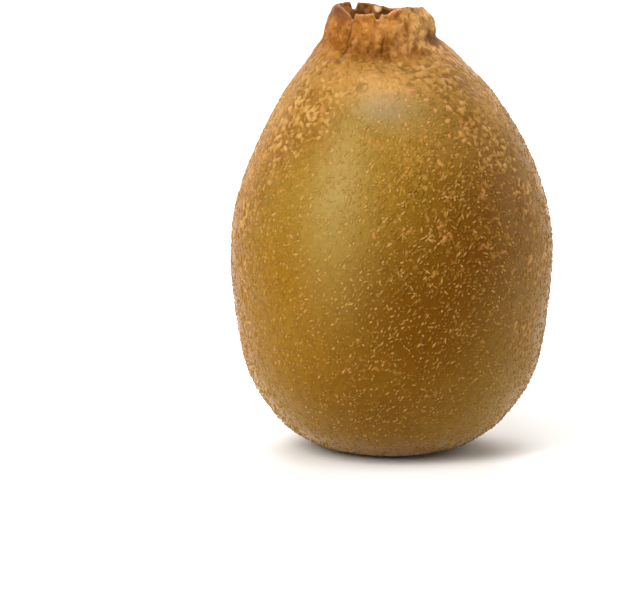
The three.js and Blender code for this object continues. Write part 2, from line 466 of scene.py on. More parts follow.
# Round patches: azimuth, height, spread in mm, and share. First, corky russet
SCURF_PATCHES = [
    (-141, 55.1, 6.0, 0.85),
    (-136, 60.5, 5.0, 0.75),
    (-119, 62.2, 4.5, 0.75),
    (-95, 63.4, 4.0, 0.8),
    (-68, 63.2, 4.5, 0.8),
    (-67, 50.2, 3.2, 0.6),
    (-50, 60.5, 4.0, 0.8),
    (-46, 55.3, 5.0, 0.85),
    (-37, 49.5, 5.5, 0.75),
    (-31, 41.0, 5.0, 0.55),
    (-24, 32.0, 6.0, 0.55),
    (-30, 22.0, 6.0, 0.5),
    (-148, 52.5, 4.5, 0.75),
    (-130, 54.5, 3.5, 0.6),
    (-163, 49.6, 6.0, 0.8),
    (-162, 41.0, 5.5, 0.7),
    (-160, 31.0, 6.0, 0.6),
    (-158, 20.0, 6.0, 0.45),
]
# Darker rind
OLIVE_PATCHES = [
    (-62, 34.0, 13.0, 0.95),
    (-78, 24.0, 13.0, 0.9),
    (-48, 44.0, 9.0, 0.7),
    (-95, 10.0, 14.0, 0.7),
    (-93, 27.0, 9.0, 0.4),
]
# Yellower rind
GOLD_PATCHES = [
    (-128, 31.0, 9.0, 0.9),
    (-124, 18.0, 10.0, 0.6),
    (-104, 42.0, 8.0, 0.35),
]
# Darker brown clouds in and beside the russet, partly painted shade on the right of the front
BROWN_AND_SHADE_PATCHES = [
    (-46, 61.5, 3.2, 0.9),
    (-38, 60.8, 3.2, 0.9),
    (-68, 62.9, 2.2, 0.7),
    (-56, 62.3, 2.4, 0.7),
    (-142, 58.5, 2.8, 0.75),
    (-137, 53.6, 3.0, 0.65),
    (-148, 50.3, 3.2, 0.6),
    (-149, 42.4, 3.6, 0.6),
    (-31, 51.2, 3.0, 0.5),
    (-48, 55.3, 2.4, 0.5),
    (-49, 52.3, 2.6, 0.6),
    (-40, 49.3, 2.8, 0.6),
    (-44, 46.0, 3.0, 0.6),
    (-70, 47.0, 3.2, 0.65),
    (-40, 38.5, 4.6, 0.85),
    (-41, 43.2, 3.4, 0.8),
    (-50, 40.0, 3.6, 0.55),
]
# Where the rind is as pale as its collar; the patches near azimuths -170 and -10 are a painted rim light
PALE_AND_RIM_LIT_PATCHES = [
    (-170, 56.0, 5.5, 0.85),
    (-172, 48.5, 5.0, 0.35),
    (-10, 57.5, 4.5, 0.6),
    (-23, 56.8, 4.2, 0.85),
    (-12, 42.0, 6.0, 0.3),
    (-80, 53.5, 4.6, 0.25),
]
# Orange-brown lenticels near the smooth patch under the neck: azimuth, height and size
LENTICELS = [
    (-107.5, 51.2, 0.60),
    (-116.0, 49.2, 0.50),
    (-105.5, 56.0, 0.55),
    (-96.0, 55.5, 0.60),
    (-95.0, 57.2, 0.52),
    (-88.0, 59.1, 0.50),
    (-71.5, 55.3, 0.62),
    (-83.0, 55.1, 0.55),
    (-85.5, 56.4, 0.60),
    (-77.0, 60.0, 1.00),
    (-80.4, 58.7, 0.70),
    (-66.0, 57.0, 0.75),
    (-63.0, 53.2, 0.65),
    (-92.0, 52.8, 0.46),
    (-69.0, 58.6, 0.85),
    (-61.0, 55.4, 0.90),
    (-57.5, 57.2, 0.95),
    (-56.0, 52.4, 0.80),
]
HIDDEN_PATCHES = 22


def hidden_patches(seed, low, high, shares):
    """Patches of the same kind round the back and the sides, at seeded random places."""
    rng = np.random.default_rng(seed)
    ranges = [(0, 185), (low, high), (4.5, 8.5), shares]  # azimuth, height, spread and share
    return list(zip(*[rng.uniform(*limits, HIDDEN_PATCHES) for limits in ranges]))


def plain_place(azimuth, height):
    """The place of an azimuth and height on the outline before any relief."""
    radius = np.interp(arc_at(height), LENGTH, RADII)
    a = np.radians(azimuth)
    return radius * np.cos(a), radius * np.sin(a), height


def cover(patches, plain):
    """How far a set of soft round patches covers a place: 1 less the product of what each leaves bare."""
    bare = 1.0
    for azimuth, height, spread, share in patches:
        middle = plain_place(azimuth, height)
        away = np.sqrt(sum((p - m) ** 2 for p, m in zip(plain, middle)))
        bare = bare * (1 - share * bell(away, spread))
    return 1 - bare


ALL_SCURF = SCURF_PATCHES + hidden_patches(21, 14, 60, (0.25, 0.6))
ALL_OLIVE = OLIVE_PATCHES + hidden_patches(22, 6, 48, (0.3, 0.8))
ALL_GOLD = GOLD_PATCHES + hidden_patches(23, 8, 50, (0.2, 0.6))
ALL_BROWN_AND_SHADE = BROWN_AND_SHADE_PATCHES + [
    (azimuth, height, spread / 2, share)
    for azimuth, height, spread, share in hidden_patches(24, 30, 62, (0.4, 0.8))
]


def azimuth_of(plain):
    """The azimuth of a place."""
    return np.degrees(np.arctan2(plain[1], plain[0]))


def sleek(azimuth, height):
    """The smooth bare patch under the neck, from 0 to 1."""
    return oval(azimuth, height, -91, 58.4, 20, 3.8)


def polished(azimuth, height):
    """The band down the left of the front that is rubbed to a gloss, from 0 to 1."""
    return oval(azimuth, height, -112, 42, 15, 15)


def bare_share(plain):
    """How bare of grains the skin is, from 0 to 1: the larger of what the two areas above leave out."""
    spot = azimuth_of(plain), plain[2]
    return np.maximum(0.75 * polished(*spot), np.minimum(1.5 * sleek(*spot), 0.97))


def russet(plain):
    """How much corky russet covers the skin at a place, from 0 to 1.

    It is the larger of the patches, made uneven by noise, with a ring round the foot, and the all-over
    russet of the shoulder, less the smooth patch under the neck.
    """
    height = plain[2]
    patches = cover(ALL_SCURF, plain) * (0.85 + 0.45 * noise(*plain, 4.0, 31))
    foot = 0.8 * bell(np.hypot(*plain[:2]), 9.5) * (1 - smooth(height, 1.0, 5.0))
    shoulder = 0.9 * smooth(height, 56.0, 63.5)
    bare = 0.85 * sleek(azimuth_of(plain), height)
    return np.clip(np.maximum(patches + foot, shoulder) * (1 - bare), 0, 1)


# ---- Meshes and the skin


class Fit:
    """Moves and scales millimetre places so that the skin fills the box of the sizes wanted, in metres."""

    def __init__(self, places):
        low, high = places.reshape(-1, 3).min(0), places.reshape(-1, 3).max(0)
        sizes = bpy.context.scene.kiwi_fruit_sizes
        wanted = np.array([sizes.width, sizes.depth, sizes.height])
        self.middle = np.array([*(low + high)[:2] / 2, low[2]])
        self.scale = wanted / (high - low)
        self.home = np.array([*(LOW + HIGH)[:2] / 2, LOW[2]])

    def __call__(self, places):
        return (places - self.middle) * self.scale + self.home


def make_mesh(name, places, faces, attributes):
    """A smooth-shaded mesh object from places in metres, faces, and each attribute's value per vertex."""
    mesh = bpy.data.meshes.new(name)
    mesh.from_pydata(places.reshape(-1, 3), [], faces)
    mesh.shade_smooth()
    for label, values in attributes.items():
        layer = mesh.attributes.new(label, "FLOAT", "POINT")
        layer.data.foreach_set("value", np.ascontiguousarray(values, np.float32).ravel())
    mesh.validate()
    piece = bpy.data.objects.new(name, mesh)
    bpy.context.collection.objects.link(piece)
    return piece


def spaced(stops):
    """Places along a line at the steps wanted between its stops: [(from, step), ..., (end, 0)]."""
    runs = [
        np.linspace(start, end, max(round((end - start) / step), 1), endpoint=False)
        for (start, step), (end, _) in zip(stops, stops[1:])
    ]
    return np.append(np.concatenate(runs), stops[-1][0])


COLUMNS = 392
FRONT_SHARE = 0.28  # how much closer than even the columns stand at the front
FOLD_GAP = 0.35  # degrees between the two columns on either side of the fold


def skin_grid():
    """Azimuth and arc length of the skin's grid: columns that follow the fold, rows closest at the beak.

    The columns' even azimuths a are drawn together at the front, as a + share * sin(a - front) grows
    evenly from one to the next.
    """
    arc = spaced(
        [
            (0, 0.30),
            (FOOT, 0.62),
            (arc_at(50), 0.42),
            (arc_at(60), 0.24),
            (CREST - 0.6, 0.12),
            (CREST + 0.6, 0.24),
            (CREST + 3.5, 0.5),
            (LENGTH[-1], 0),
        ]
    )
    height = np.interp(arc, LENGTH, HEIGHTS)
    start = fold_azimuth(np.where(arc > CREST, HEIGHT, height))
    turned = np.linspace(FOLD_GAP / 2, 360 - FOLD_GAP / 2, COLUMNS)
    crowded = turned + FRONT_SHARE * np.degrees(np.sin(np.radians(turned + FOLD_AT + 90)))
    past = np.interp(turned, crowded - crowded[0] + FOLD_GAP / 2, turned)
    return past[:, None] + start[None, :], np.broadcast_to(arc, (COLUMNS, len(arc)))


def grid_faces(columns, rows):
    """Quads round a grid of columns that closes on itself, and triangles to its two poles."""
    start = np.arange(columns) * (rows - 2)
    following = np.roll(start, -1)
    first, last = columns * (rows - 2), columns * (rows - 2) + 1
    here, right = (column[:, None] + np.arange(rows - 3) for column in (start, following))
    quads = np.stack([here, right, right + 1, here + 1], -1).reshape(-1, 4)
    fans = [
        np.stack([np.full(columns, first), following, start], -1),
        np.stack([np.full(columns, last), start + rows - 3, following + rows - 3], -1),
    ]
    return quads.tolist() + np.vstack(fans).tolist()


def to_vertices(values):
    """A grid's values in the order of grid_faces, with each pole's copies made one value, their mean."""
    body = values[:, 1:-1].reshape(-1, *values.shape[2:])
    return np.concatenate([body, values[:, 0].mean(0)[None], values[:, -1].mean(0)[None]])


def skin_surface(azimuth, arc):
    """fruit_surface with the russet's low swellings on it, which stand out along the plain normals.

    They are noise and cobbles where russet or the collar covers the skin, with fine noise all over.
    """
    place, spots = fruit_surface(azimuth, arc)
    plain, height = spots.plain, spots.height
    rind = spots.outside * (1 - spots.beak)
    spots.russet = russet(plain) * rind
    lumps = 0.10 * np.maximum(noise(*plain, 2.6, 41), -0.3) + 0.10 * (cobbles(*plain, 1.5, 42) - 0.5)
    stands = smooth(spots.russet, 0.2, 0.8) + bell(height - NECK_AT + 4.5, 2.6) * spots.outside
    low = (lumps * np.minimum(stands, 1) + 0.04 * noise(*plain, 1.1, 43) * rind) * smooth(height, 0.2, 2.0)
    return place + plain_normals(spots.azimuth, spots.arc) * low[..., None], spots


# The masks that colour the rind, for the skin and for every grain on it
RIND_MASKS = ("russet", "olive", "gold", "brown_and_shade", "sleek", "polish", "rough", "beak", "collar")


def rind_masks(spots):
    """What colours the rind at each spot: each mask of RIND_MASKS, from 0 to 1."""
    azimuth, height = spots.azimuth, spots.height
    collar = bell(height - NECK_AT + 5.0, 3.4) * (0.38 + 0.62 * sector(azimuth, -84, 48))
    rubbed = np.maximum(1.5 * sleek(azimuth, height), polished(azimuth, height))
    values = (
        spots.russet,
        cover(ALL_OLIVE, spots.plain),
        cover(ALL_GOLD, spots.plain),
        cover(ALL_BROWN_AND_SHADE, spots.plain),
        sleek(azimuth, height),
        rubbed * spots.outside,
        1 - 0.75 * np.minimum(rubbed, 1),
        spots.beak,
        # The patches near azimuths -170 and -10 paint a rim light into this mask
        np.maximum(collar, cover(PALE_AND_RIM_LIT_PATCHES, spots.plain)) * spots.outside,
    )
    return dict(zip(RIND_MASKS, values))


def make_skin():
    """The fruit's whole skin: skin_surface over skin_grid, with masks for its material.

    Each mask is a product of bells and smooth steps over the azimuth, the height or the arc length.
    """
    place, spots = skin_surface(*skin_grid())
    azimuth, arc, height, inside = spots.azimuth, spots.arc, spots.height, spots.inside
    front = 0.35 + 0.65 * front_of_neck(azimuth)
    stain = (
        oval(azimuth, height, -150, HEIGHT - 0.5, 21, 1.3)
        + 0.9 * oval(azimuth, height, -14, NECK_AT + 0.4, 20, 0.9)
        + 0.5 * oval(azimuth, arc, -20, CREST, 34, 0.5)
    )
    pale_patch = oval(azimuth, arc, 91, CREST + 0.8, 6, 1) + 0.45 * noise(*np.moveaxis(place, -1, 0), 1.2, 44)
    masks = {
        **rind_masks(spots),
        # Tan of the right-hand lobe, paler on its warts' tops, where it is a painted highlight
        "lobe": spots.beak * sector(azimuth, -25, 42) * (0.55 + 0.45 * spots.wart),
        "inside": inside,
        "crease": spots.crease,
        "furrow": spots.furrow,
        "curl": spots.curl,
        # A darker band across the concave front of the neck: painted shade, over tissue that is darker
        # there
        "neck": bell(height - NECK_AT + 0.6, 2.1) * front * spots.outside,
        "stain": np.clip(stain, 0, 1) * spots.outside,
        "edge": bell(arc - CREST, 0.28) * front,
        "pale_patch": smooth(pale_patch, 0.30, 0.85) * inside,
        "crest": inside * (1 - smooth(arc, CREST + 1.2, CREST + 3.4)),
        "fresh": sector(azimuth, 172, 32) * inside * (1 - smooth(arc, CREST + 1.6, CREST + 4.0)),
        "cork": 1 - smooth(arc + 0.6 * noise(*spots.plain, 1.1, 46), FOOT - 4.2, FOOT - 3.4),
        "groove": bell(arc - 2.9, 0.75),
        "stub": 1 - smooth(arc, 1.3, 2.1),
    }
    masks = {name: to_vertices(mask) for name, mask in masks.items()}
    fit = Fit(place)
    return make_mesh("fruit_skin", fit(to_vertices(place)), grid_faces(*azimuth.shape), masks), fit


def plain_normals(azimuth, arc):
    """Outward normals of the turned outline: the outline's own normal, turned to the azimuth."""
    step = 0.15
    dr = np.interp(arc + step, LENGTH, RADII) - np.interp(arc - step, LENGTH, RADII)
    dz = np.interp(arc + step, LENGTH, HEIGHTS) - np.interp(arc - step, LENGTH, HEIGHTS)
    size = np.maximum(np.hypot(dr, dz), 1e-9)
    a = np.radians(azimuth)
    return np.stack([dz / size * np.cos(a), dz / size * np.sin(a), -dr / size], -1)


def mound(stations, across):
    """One low mound: its points and its triangles.

    The points go along, across and out, as shares of half its length, half its width and its height.
    Stations of them stand between two tips, closest at the ends. The width and the height follow an
    ellipse from tip to tip, the cross-section is a power of cos(pi v / 2), and the edge lies a little
    under the skin.
    """
    sunk = 0.12
    u = np.sin(1.8 * np.linspace(-1, 1, stations + 2)[1:-1])
    v = np.linspace(-1, 1, across)
    u, v = (part.ravel() for part in np.meshgrid(u, v, indexing="ij"))
    out = (1 + sunk) * np.cos(np.pi * v / 2) ** 1.4 * np.sqrt(1 - u**2) - sunk
    points = np.stack([u, v * np.sqrt(1 - np.abs(u) ** 2.6), out], -1)
    points = np.vstack([points, [(-1, 0, -sunk), (1, 0, -sunk)]])
    first, last, faces = stations * across, stations * across + 1, []
    for j in range(across - 1):
        faces += [(first, j, j + 1), (first - across + j, last, first - across + j + 1)]
        for i in range(stations - 1):
            here = i * across + j
            faces += [(here, here + across, here + across + 1), (here, here + across + 1, here + 1)]
    return points, np.array(faces)


# ---- Grains and crusts

TRIES = 30  # random places tried for each one wanted
CELL_MIDDLE = 0.72  # share of a cell's width, in its middle, that a place may stand in


def scatter(rng, count, density, low, high, cell):
    """Azimuths and arc lengths of random places on the outer skin between two heights.

    They are thinned by a density. A net of cells lies over the skin, each cell millimetres wide, with
    every other row half a cell on, and only the first place in the middle of each cell is kept.
    """
    azimuth = rng.uniform(-180, 180, TRIES * count)
    arc = rng.uniform(arc_at(low), arc_at(high), TRIES * count)
    spots = Spots(azimuth, arc)
    wanted = density(spots.plain) * spots.radius / (WIDTH / 2)
    kept = np.flatnonzero(rng.uniform(0, 1, TRIES * count) < wanted)
    up = arc[kept] / cell
    row = np.floor(up)
    across = (spots.angle[kept] + np.pi) * np.interp(row * cell, LENGTH, RADII) / cell + 0.5 * (row % 2)
    column = np.floor(across)
    middle = np.maximum(abs(up - row - 0.5), abs(across - column - 0.5)) < CELL_MIDDLE / 2
    kept, row, column = kept[middle], row[middle], column[middle]
    first = np.unique(row * 10000 + column, return_index=True)[1]  # one number for each cell
    kept = kept[rng.permutation(first)[:count]]
    return azimuth[kept], arc[kept]


def lie(rng, azimuth, arc):
    """The angle at which each grain lies, in degrees up from level.

    At the front they rise to the right, and more steeply on the left. On the right they fall to the
    right, and elsewhere slow noise turns them. All are spread by 26 degrees, and 12 % lie crosswise.
    """
    a = np.radians(azimuth)
    swirl = 100 * noise(12 * np.cos(a), 12 * np.sin(a), arc, 14.0, 51)
    front = smooth(azimuth, -172, -160) * (1 - smooth(azimuth, -72, -50))
    right = smooth(azimuth, -66, -48) * (1 - smooth(azimuth, -15, 5))
    steep = 20 * (1 - smooth(azimuth, -150, -120))
    mean = (48 + steep) * front - 42 * right + swirl * (1 - front) * (1 - right)
    return mean + rng.normal(0, 26, len(azimuth)) + 90 * (rng.uniform(0, 1, len(azimuth)) < 0.12)


def make_grains(name, fit, form, azimuth, arc, angle, sizes, tint, red=0.0):
    """Thousands of raised grains on the skin, each a mound of the same form.

    A mound's points run along and across the surface from its middle, turned by its angle. Its width
    goes from one end to the other as 1 + taper u, it bends as bend (1 - u^2), and it stands out along
    the surface's normal.
    """
    points, faces = form
    u, v, out = (points[None, :, axis] for axis in range(3))
    length, width, height, bend, taper = (size[:, None] for size in sizes)
    along = u * length / 2
    across = v * (1 + taper * u) * width / 2 + bend * (1 - u**2) * length
    turned = np.radians(angle)[:, None]
    right = along * np.cos(turned) - across * np.sin(turned)
    up = along * np.sin(turned) + across * np.cos(turned)
    radius = np.maximum(np.interp(arc, LENGTH, RADII), 1)[:, None]
    place, spots = skin_surface(azimuth[:, None] + np.degrees(right / radius), arc[:, None] + up)
    place = place + plain_normals(azimuth, arc)[:, None, :] * (out * height)[..., None]
    count = len(azimuth)
    every = faces[None] + len(points) * np.arange(count)[:, None, None]
    shape = (count, len(points))
    values = {
        "tint": np.broadcast_to(tint[:, None], shape),
        # From 0 at a mound's foot to 1 on its top, where the top is painted lighter as a highlight
        "top_light": np.broadcast_to(np.clip(out, 0, 1), shape),
        "red": np.full(shape, red),
        **rind_masks(spots),
    }
    return make_mesh(name, fit(place), every.reshape(-1, 3), values)


def flank_flecks(count, fit):
    """Fine flecks: raised dashes 0.4 to 1.5 mm long over all of the flank.

    They stand in clumps of two sizes of noise, thin out towards the shoulder, on russet and where the
    skin is bare, and stand closer and larger in the middle of the front and at its left.
    """
    rng = np.random.default_rng(5)

    def density(plain):
        azimuth, height = azimuth_of(plain), plain[2]
        clumps = np.clip(0.55 + 0.7 * noise(*plain, 3.0, 61) + 0.9 * noise(*plain, 1.3, 64), 0.06, 1.0)
        busy = 0.6 * oval(azimuth, height, -74, 46, 24, 12) + 0.45 * oval(azimuth, height, -140, 40, 18, 12)
        thinned = (1 - smooth(height, 57.0, 62.0)) * (0.8 - 0.65 * russet(plain))
        return (1 - bare_share(plain)) * (clumps + busy) * thinned

    azimuth, arc = scatter(rng, count, density, low=0.8, high=62.0, cell=0.62)
    count = len(arc)
    middle = oval(azimuth, arc, -80, arc_at(43), 34, 17)
    left = oval(azimuth, arc, -140, arc_at(38), 18, 14)
    length = rng.gamma(7.0, 0.088, count).clip(0.36, 1.05) * (1 + 0.40 * middle + 0.15 * left)
    width = rng.uniform(0.32, 0.50, count) * (1 + 0.20 * middle + 0.35 * left)
    height = rng.uniform(0.13, 0.22, count) * (1 + 0.6 * middle + 0.5 * left)
    sizes = (length, width, height, rng.normal(0, 0.06, count), rng.normal(0, 0.3, count))
    tint = rng.beta(1.7, 1.9, count)
    return make_grains("flank_flecks", fit, mound(3, 3), azimuth, arc, lie(rng, azimuth, arc), sizes, tint)


def skin_dots(count, fit):
    """Small dots, 0.2 to 0.4 mm across, the feet of hairs, between the flecks and fewest at the front."""
    rng = np.random.default_rng(8)

    def density(plain):
        clumps = np.clip(0.6 + 0.6 * noise(*plain, 2.2, 63), 0.1, 1.0)
        thinned = (1 - smooth(plain[2], 57.0, 62.5)) * (1 - 0.55 * sector(azimuth_of(plain), -60, 55))
        return (1 - 0.8 * bare_share(plain)) * clumps * thinned

    azimuth, arc = scatter(rng, count, density, low=0.8, high=63.0, cell=0.5)
    count = len(arc)
    width = rng.uniform(0.22, 0.42, count)
    length = width * rng.uniform(1.0, 1.5, count)
    sizes = (length, width, rng.uniform(0.04, 0.075, count), np.zeros(count), rng.normal(0, 0.2, count))
    tint = rng.beta(2, 3, count)
    return make_grains("skin_dots", fit, mound(1, 3), azimuth, arc, lie(rng, azimuth, arc), sizes, tint)


CRUSTS_MEET = 46  # height where the flank's crust ends and the shoulder's begins
BURIED = -0.06  # how deep under the skin a crust's hidden edge goes, in mm


def crust_share(spots):
    """How much of the skin its crust covers, from 0 for none.

    It is the larger of the russet, less under the brown and painted-shade patches, and a loose strewing at
    the front and the left, both made uneven by noise. It ends at the foot of the beak and thins out at the
    two sides.
    """
    azimuth, height, plain = spots.azimuth, spots.height, spots.plain
    loose = (
        0.09
        + 0.16 * sector(azimuth, -56, 36) * smooth(height, 24, 38)
        + 0.14 * oval(azimuth, height, -74, 49.5, 18, 7.5)
        + 0.17 * oval(azimuth, height, -146, 42, 20, 14)
    )
    loose = loose * (1 - bare_share(plain)) * (1.0 + 0.8 * noise(*plain, 3.4, 65))
    share = russet(plain) * (1.0 + 0.5 * noise(*plain, 2.6, 62)) * (1 - 0.4 * cover(ALL_BROWN_AND_SHADE, plain))
    ends = 1 - smooth(height - sector(azimuth, -145, 26), 64.0, 66.5)
    sides = bell(plain[1], 9.0) * (1 - smooth(height, 54, 62))
    return 1.2 * np.maximum(share, loose) * ends * (1 - 0.7 * sides) * (1 - 0.8 * spots.crease)


def crust_height(plain, share, collar, thready):
    """How far cork stands out of the skin, in mm, and under 0 where the skin is bare.

    Domes round strewn points about a millimetre apart, wider round the collar, are made uneven by two
    sizes of noise and bent by a third. Where they are thready, ridges 0.8 - 2.6 |noise| take their
    place. The share lifts them: only the highest stand clear where it is small, and where it is near 1
    they merge and leave narrow gaps.
    """
    bent = [c + 0.28 * noise(*plain, 0.9, seed) for c, seed in zip(plain, (71, 72, 73))]
    domes = 0.75 - (cells(*bent, 0.95, 80)[0] / 0.6) ** 2
    wide = 0.75 - (cells(*bent, 1.15, 90)[0] / 0.6) ** 2
    threads = 0.80 - 2.6 * abs(noise(*bent, 1.05, 86))
    domes = domes + (wide - domes) * collar
    domes = domes + (threads - domes) * thready
    lumpy = 0.45 * domes + 0.45 * noise(*bent, 0.6, 74) + 0.22 * noise(*bent, 0.34, 75)
    lift = 0.19 - 0.62 * (1 - np.clip(share, 0, 1)) ** 1.5 - 0.6 * (1 - smooth(share, 0, 0.15))
    return (0.27 - 0.08 * collar) * np.tanh(1.4 * (lumpy + lift))


def russet_crust(name, fit, low, high, columns, step):
    """Cork in low, merging lumps between two heights: crust_height on a close grid over the skin.

    The grid has so many columns round the fruit and a row at each step, in millimetres, up it. Its
    faces that lie wholly under the skin are left out.
    """
    arc = np.linspace(arc_at(low), arc_at(high), int((arc_at(high) - arc_at(low)) / step))
    place, spots = skin_surface(np.linspace(-180, 180, columns + 1)[:, None], arc)
    azimuth, arc, height, plain = spots.azimuth, spots.arc, spots.height, spots.plain
    collar = smooth(height, 59.5, 62.5)
    thready = 0.75 * (1 - smooth(height, 44, 52)) * sector(azimuth, -35, 45)
    out = crust_height(plain, crust_share(spots), collar, thready)
    out = out * (1 - 0.5 * collar * bell(plain[1], 5.0))
    place = place + plain_normals(azimuth, arc) * np.maximum(out, BURIED)[..., None]
    rows = azimuth.shape[1]
    here = (np.arange(columns)[:, None] * rows + np.arange(rows - 1)).ravel()
    quads = np.stack([here, here + rows, here + rows + 1, here + 1], -1)
    used, quads = np.unique(quads[out.ravel()[quads].max(1) > 0], return_inverse=True)
    pale = 0.65 + 0.35 * smooth(spots.russet, 0.1, 0.45)
    values = {
        **rind_masks(spots),
        "tint": (0.66 + 0.34 * noise(*plain, 1.1, 78) - 0.08 * collar) * pale,
        # From the gaps to the tops of the cork: the gaps are painted darker as shade, the tops lighter as a
        # highlight
        "top_light": smooth(out, -0.03, 0.17),
        "red": 0.5 * smooth(noise(*plain, 1.4, 79), 0.2, 0.7),
    }
    values = {label: value.ravel()[used] for label, value in values.items()}
    return make_mesh(name, fit(place.reshape(-1, 3)[used]), quads.reshape(-1, 4).tolist(), values)


def lenticels(fit):
    """Round reddish lenticels beside and below the smooth patch under the neck."""
    rng = np.random.default_rng(7)
    azimuth, height, size = np.array(LENTICELS).T
    count = len(size)
    still = np.zeros(count)
    sizes = (size * rng.uniform(1.1, 1.65, count), 1.1 * size, 0.36 * size, still, still)
    angle, tint = rng.uniform(0, 180, count), np.full(count, 0.7)
    return make_grains("lenticels", fit, mound(5, 5), azimuth, arc_at(height), angle, sizes, tint, 0.7)


# ---- Materials


def linear(colour):
    """A linear RGBA colour from an sRGB hex value such as "b5852f". One that is linear stays as it is."""
    if not isinstance(colour, str):
        return colour
    parts = [int(colour[i : i + 2], 16) / 255 for i in (0, 2, 4)]
    return [p / 12.92 if p <= 0.04045 else ((p + 0.055) / 1.055) ** 2.4 for p in parts] + [1.0]


def add(tree, kind, settings=None, **inputs):
    """Adds a node, sets its properties, and fills or links its inputs.

    An input is named by its label with _ for a space, or by its number after an s. A node given for an
    input is linked by its first output in use, a socket is linked, and a value is set.
    """
    made = tree.nodes.new(kind)
    for name, value in (settings or {}).items():
        setattr(made, name, value)
    for name, value in inputs.items():
        numbered = name[0] == "s" and name[1:].isdigit()
        socket = made.inputs[int(name[1:])] if numbered else made.inputs[name.replace("_", " ")]
        if isinstance(value, bpy.types.Node):
            value = next(output for output in value.outputs if output.enabled)
        if isinstance(value, bpy.types.NodeSocket):
            tree.links.new(value, socket)
        else:
            socket.default_value = value
    return made


def new_material(name, textures, masks):
    """A new material, its tree, and the tree's textures and masks by name.

    Each texture is noise in Object coordinates with a size in millimetres and a detail, and each mask
    is a value that the mesh holds.
    """
    material = bpy.data.materials.new(name)
    material.use_nodes = True
    tree = material.node_tree
    tree.nodes.clear()
    place = add(tree, "ShaderNodeTexCoord").outputs["Object"]
    parts = {}
    for label, size, detail in textures:
        scale = 1 / (size * MM)
        texture = add(tree, "ShaderNodeTexNoise", Vector=place, Scale=scale, Detail=detail, Roughness=0.55)
        parts[label] = texture.outputs["Fac"]
    for mask in masks:
        parts[mask] = add(tree, "ShaderNodeAttribute", {"attribute_name": mask}).outputs["Fac"]
    return material, tree, parts


def painted(tree, parts, base, layers):
    """A base colour with layers over it.

    Each layer is a colour, the mask that it keeps to, its share there, the texture that breaks it up,
    and the texture's values where it is bare and where it is whole.
    """
    settings = {"interpolation_type": "SMOOTHSTEP", "clamp": True}
    under = linear(base)
    for colour, mask, share, texture, bare, whole in layers:
        broken = add(
            tree, "ShaderNodeMapRange", settings, s0=parts[texture], s1=bare, s2=whole, s3=0.0, s4=share
        )
        kept = add(tree, "ShaderNodeMath", {"operation": "MULTIPLY"}, s0=parts.get(mask, 1.0), s1=broken)
        under = add(tree, "ShaderNodeMix", {"data_type": "RGBA"}, s0=kept, s6=under, s7=linear(colour))
    return under


def rind_layers(colours):
    """The rind's colours under its russet and under the tops of its grains."""
    return [
        (colours.gold, "gold", 1.0, "blotch", -0.6, 0.6),
        (colours.olive, "olive", 1.0, "blotch", -0.6, 0.6),
        # Greener khaki where the rind is rubbed: a painted sheen where the key light's gloss falls, over
        # the coat's real gloss
        ("877330", "polish", 0.55, "blotch", -0.6, 0.6),
        # Grey khaki on the smooth patch under the neck: a painted reflection of the lights, over the coat's
        # real gloss
        ("7a6642", "sleek", 0.80, "mottle", 0.1, 0.5),
        ("7d4f1c", "russet", 0.85, "mottle", -0.4, 0.4),
        # Pale tan of the collar, and a painted rim light on the patches near azimuths -170 and -10
        ("bb8a48", "collar", 0.85, "mottle", 0.14, 0.52),
    ]


# What the rind and the grains on it share: a waxy gloss that is weak and warm, a coat where rubbing has
# polished it, and a pale bloom at grazing angles
RIND_GLOSS = {
    "IOR": 1.45,
    "Specular_IOR_Level": 0.22,
    "Specular_Tint": linear("ffd048"),
    "Coat_Roughness": 0.42,
    "Sheen_Roughness": 0.32,
    "Sheen_Tint": linear("ffdcc0"),
}
COAT = 0.38  # weight of that coat where the polish mask is 1


